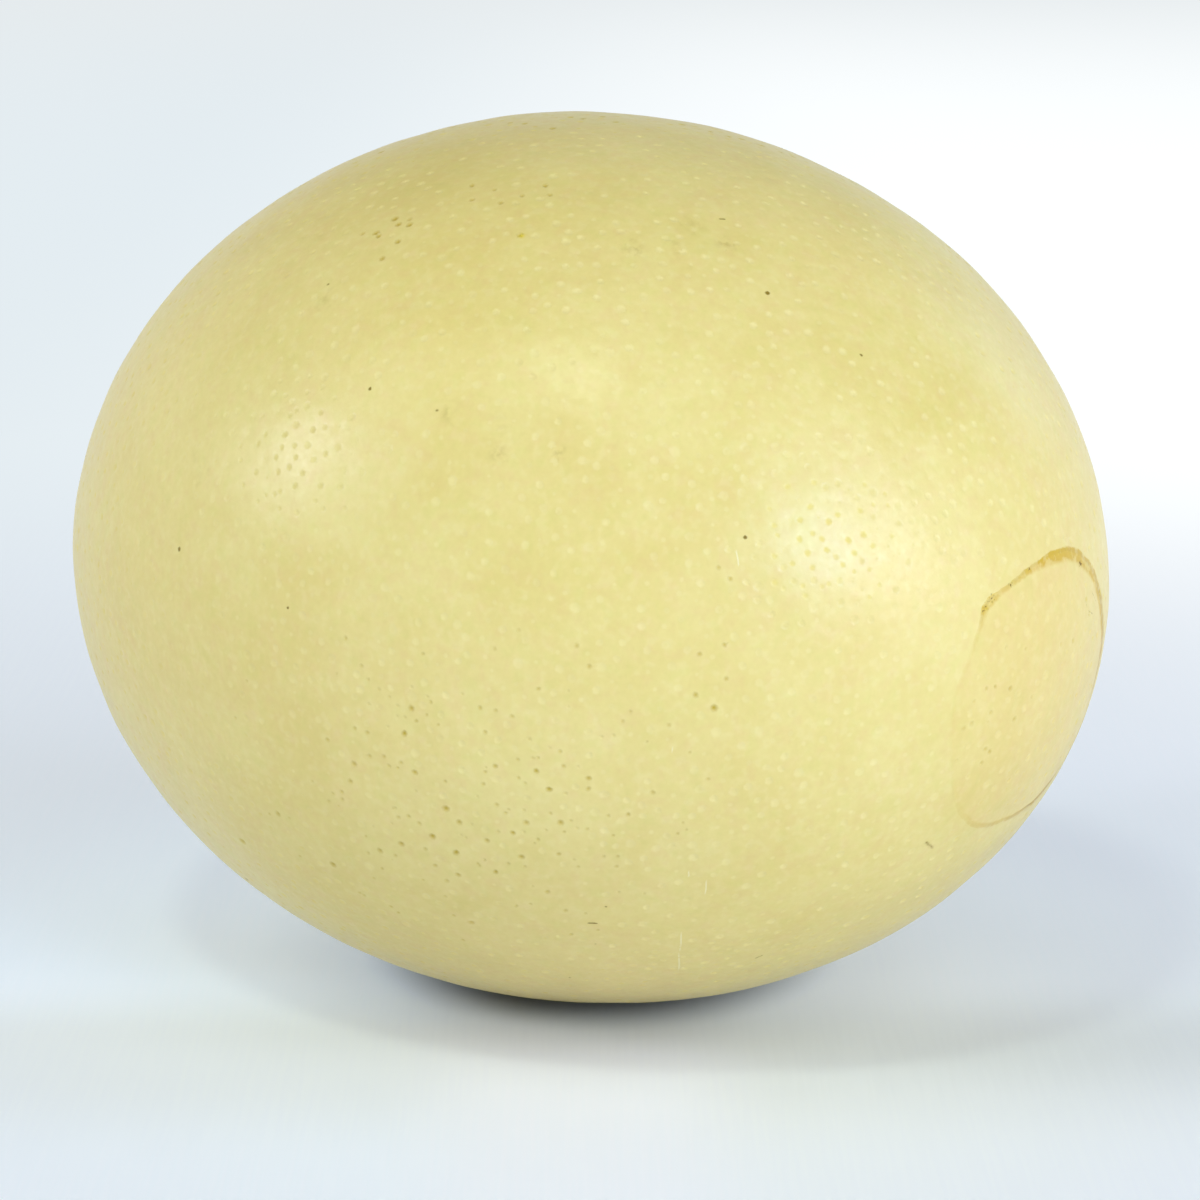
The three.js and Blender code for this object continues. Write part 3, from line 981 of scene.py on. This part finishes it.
# azimuth and elevation (degrees), distance, width (m), power (W), colour
LIGHTS = (
    ("key_right", 62.6, 16.4, 1.2, 0.34, 3.85, (0.355, 0.62, 1.0)),
    ("key_left", -47.0, 23.0, 1.2, 0.26, 2.35, (0.83, 0.86, 1.0)),
    ("high_front", 4.9, 57.3, 1.2, 0.16, 1.75, (0.88, 1.0, 0.84)),
    ("side_low", 78.4, 4.0, 1.2, 0.62, 3.65, (0.98, 0.89, 1.0)),
    ("side_mid", 78.4, 25.0, 1.2, 0.62, 2.55, (0.73, 0.76, 1.0)),
    ("front_high", 60.4, 48.0, 1.2, 0.62, 1.08, (0.90, 1.0, 1.0)),
    ("left_high", -35.6, 48.0, 1.2, 0.62, 1.55, (1.0, 0.95, 0.62)),
    ("top_front", 28.4, 72.0, 1.2, 0.62, 0.53, (1.0, 0.87, 0.78)),
    ("top", -91.6, 72.0, 1.2, 0.62, 0.35, (1.0, 0.80, 0.65)),
    ("back_left", -99.6, 48.0, 1.2, 0.62, 0.68, (0.72, 0.84, 0.66)),
    ("back_left_low", -96.6, 25.0, 1.2, 0.62, 0.38, (0.85, 1.0, 0.9)),
    ("back_right", 156.4, 48.0, 1.2, 0.62, 0.50, (1.0, 0.80, 0.50)),
    ("back_right_low", 153.4, 25.0, 1.2, 0.62, 1.00, (0.48, 0.74, 1.0)),
    ("back", 208.4, 48.0, 1.2, 0.62, 0.40, (0.88, 0.88, 1.0)),
)
for name, azimuth, elevation, distance, width, power, tint in LIGHTS:
    softbox(name, azimuth, elevation, distance, width, width, power, tint)

CAMERA_AZIMUTH, CAMERA_ELEVATION, CAMERA_DISTANCE = 28.4, 11.7, 0.560
# painted light: the glow the floor gives off near the egg, in front and, bluer, beside it, lightening the lamps'
# shadows there
NEAR_GLOW = rgb(0.14, 0.145, 0.215)
BESIDE_LEFT_GLOW = rgb(0.165, 0.22, 0.34)
BESIDE_RIGHT_GLOW = rgb(0.165, 0.19, 0.235)
GLOW_LEFT = rgb(0.775, 0.845, 0.885)
GLOW_RIGHT = rgb(1.02, 1.05, 1.06)
HORIZON = rgb(0.79, 0.83, 0.845)
CEILING = rgb(0.088, 0.088, 0.078)
HORIZON_TOP = (math.sin(math.radians(8.0)), math.sin(math.radians(40.0)))


def floor_material():
    """Pale cloth: lit near the egg, glowing like a lit backdrop further off; near the egg a painted glow lightens
    the lamps' shadows, and a painted contact shadow darkens it where the egg stands.
    """
    t = Nodes("pale_floor")
    where = t.new("ShaderNodeTexCoord").outputs["Object"]
    far = t.new("ShaderNodeVectorMath", operation="LENGTH")
    t.put(far.inputs[0], where)
    far = far.outputs["Value"]
    under = t.new("ShaderNodeVectorMath", operation="DISTANCE")
    turned = t.new("ShaderNodeMapping", vector_type="TEXTURE")
    t.put(turned.inputs["Vector"], where)
    turned.inputs["Rotation"].default_value = (0.0, 0.0, math.radians(CAMERA_AZIMUTH))
    turned = turned.outputs[0]
    t.put(under.inputs[0], turned)
    under.inputs[1].default_value = (0.003, 0.012, 0.0)
    under = under.outputs["Value"]
    split = t.new("ShaderNodeSeparateXYZ")
    t.put(split.inputs[0], turned)

    tone = t.noise(where, 260.0, 2.0)
    colour = t.mix(t.ramp(tone, 0.3, 0.7), rgb(0.86, 0.90, 0.95), rgb(0.89, 0.925, 0.965))
    # painted contact shadow: the floor's colour, and below also its glow, darkened round the place where the egg
    # stands
    painted_contact_shadow = t.ramp(under, 0.022, 0.038, 0.36, 0.95)
    painted_contact_shadow = t.math("MULTIPLY", painted_contact_shadow, t.ramp(under, 0.038, 0.057, 0.95, 1.0))
    colour = t.mix(1.0, colour, contact_grey(t, painted_contact_shadow), "MULTIPLY")
    stretched = t.new("ShaderNodeMapping", vector_type="POINT")
    t.put(stretched.inputs["Vector"], turned)
    stretched.inputs["Scale"].default_value = (1.0, 0.035, 1.0)
    threads = t.noise(stretched.outputs[0], 0.95, 1.0, 0.5)
    crossing = t.new("ShaderNodeMapping", vector_type="POINT")
    t.put(crossing.inputs["Vector"], turned)
    crossing.inputs["Scale"].default_value = (0.06, 1.0, 1.0)
    crossing = t.noise(crossing.outputs[0], 0.9, 1.0, 0.5)
    cloth = t.math("ADD", t.math("MULTIPLY", threads, 1.0), t.math("MULTIPLY", crossing, 0.5))
    colour = t.mix(t.ramp(threads, 0.35, 0.65, 0.0, 0.05), colour, rgb(0.62, 0.65, 0.70))
    bump = t.new("ShaderNodeBump")
    t.put(bump.inputs["Height"], cloth)
    bump.inputs["Distance"].default_value = 0.00002
    s = t.new("ShaderNodeBsdfPrincipled")
    t.put(s.inputs["Base Color"], colour)
    t.put(s.inputs["Normal"], bump.outputs["Normal"])
    s.inputs["Roughness"].default_value = 0.9
    s.inputs["Specular IOR Level"].default_value = 0.1
    # painted light and shade in the floor's glow: stronger beside the egg where the lamps' shadows fall, painted
    # darker close to the egg
    aside = t.math("ABSOLUTE", split.outputs["X"])
    beside = t.math("MULTIPLY", t.ramp(aside, 0.007, 0.030), t.ramp(under, 0.150, 0.070, 0.35, 1.0))
    behind = t.math("MAXIMUM", t.ramp(split.outputs["Y"], -0.030, 0.0, 0.36, 1.0),
                    t.ramp(split.outputs["Y"], -0.045, -0.080, 0.36, 0.68))
    beside_clear = t.math("MULTIPLY", behind, t.ramp(under, 0.015, 0.036))
    sides = t.mix(t.ramp(split.outputs["X"], -0.02, 0.02), BESIDE_LEFT_GLOW, BESIDE_RIGHT_GLOW)
    front = t.mix(1.0, NEAR_GLOW, contact_grey(t, t.ramp(under, 0.022, 0.070)), "MULTIPLY")
    sides = t.mix(1.0, sides, contact_grey(t, beside_clear), "MULTIPLY")
    near = t.mix(beside, front, sides)
    t.put(s.inputs["Emission Color"], t.mix(1.0, near, contact_grey(t, painted_contact_shadow), "MULTIPLY"))
    s.inputs["Emission Strength"].default_value = 1.0

    side = t.ramp(split.outputs["X"], -0.20, 0.17)
    glow = t.new("ShaderNodeEmission")
    lit = t.mix(side, GLOW_LEFT, GLOW_RIGHT)
    lit = t.mix(t.ramp(far, 0.9, 3.0), lit, HORIZON)
    t.put(glow.inputs["Color"], lit)
    fade = t.new("ShaderNodeMixShader")
    t.put(fade.inputs[0], t.ramp(far, 0.065, 0.50))
    t.tree.links.new(s.outputs[0], fade.inputs[1])
    t.tree.links.new(glow.outputs[0], fade.inputs[2])
    out = t.new("ShaderNodeOutputMaterial")
    t.tree.links.new(fade.outputs[0], out.inputs[0])
    t.material.cycles.emission_sampling = "NONE"
    return t.material


def contact_grey(t, value):
    n = t.new("ShaderNodeCombineColor")
    for i in range(3):
        t.put(n.inputs[i], value)
    return n.outputs[0]


def make_floor():
    m = bpy.data.meshes.new("floor")
    rings = (0.0, 0.3, 0.9, 2.5, 8.0)
    sides = 64
    verts = [(0, 0, 0)] + [(r * math.cos(6.283185 * k / sides), r * math.sin(6.283185 * k / sides), 0)
                           for r in rings[1:] for k in range(sides)]
    quads = [(0, 1 + k, 1 + (k + 1) % sides) for k in range(sides)]
    for i in range(len(rings) - 2):
        a, b = 1 + i * sides, 1 + (i + 1) * sides
        quads += [(a + k, b + k, b + (k + 1) % sides, a + (k + 1) % sides) for k in range(sides)]
    m.from_pydata(verts, [], quads)
    m.materials.append(floor_material())
    o = bpy.data.objects.new("floor", m)
    bpy.context.scene.collection.objects.link(o)


make_floor()

world = bpy.data.worlds.new("studio")
bpy.context.scene.world = world
world.use_nodes = True
world.node_tree.nodes.clear()
w_tree = world.node_tree
w_out = w_tree.nodes.new("ShaderNodeOutputWorld")
w_back = w_tree.nodes.new("ShaderNodeBackground")
w_where = w_tree.nodes.new("ShaderNodeTexCoord")
w_split = w_tree.nodes.new("ShaderNodeSeparateXYZ")
w_ramp = w_tree.nodes.new("ShaderNodeMapRange")
w_ramp.interpolation_type = "SMOOTHSTEP"
w_mix = w_tree.nodes.new("ShaderNodeMix")
w_mix.data_type = "RGBA"
w_tree.links.new(w_where.outputs["Generated"], w_split.inputs[0])
w_tree.links.new(w_split.outputs["Z"], w_ramp.inputs[0])
w_ramp.inputs[1].default_value, w_ramp.inputs[2].default_value = HORIZON_TOP
w_tree.links.new(w_ramp.outputs[0], w_mix.inputs[0])
w_mix.inputs[6].default_value = HORIZON
w_mix.inputs[7].default_value = CEILING
w_tree.links.new(w_mix.outputs[2], w_back.inputs[0])
w_tree.links.new(w_back.outputs[0], w_out.inputs[0])

IMAGE = 1200.0
FOCAL_PIXELS, CENTRE_X, CENTRE_Y = 3844.0, 581.75, 558.6
cam_data = bpy.data.cameras.new("camera")
cam = bpy.data.objects.new("camera", cam_data)
bpy.context.scene.collection.objects.link(cam)
cam.location = around_egg(CAMERA_AZIMUTH, CAMERA_ELEVATION, CAMERA_DISTANCE)
look(cam, centre)
cam_data.sensor_width = 36.0
cam_data.lens = 36.0 * FOCAL_PIXELS / IMAGE
cam_data.shift_x = (IMAGE / 2 - CENTRE_X) / IMAGE
cam_data.shift_y = -(IMAGE / 2 - CENTRE_Y) / IMAGE
cam_data.clip_start, cam_data.clip_end = 0.01, 50.0
bpy.context.scene.camera = cam
bpy.context.scene.view_settings.view_transform = "Standard"
bpy.context.scene.view_settings.look = "None"
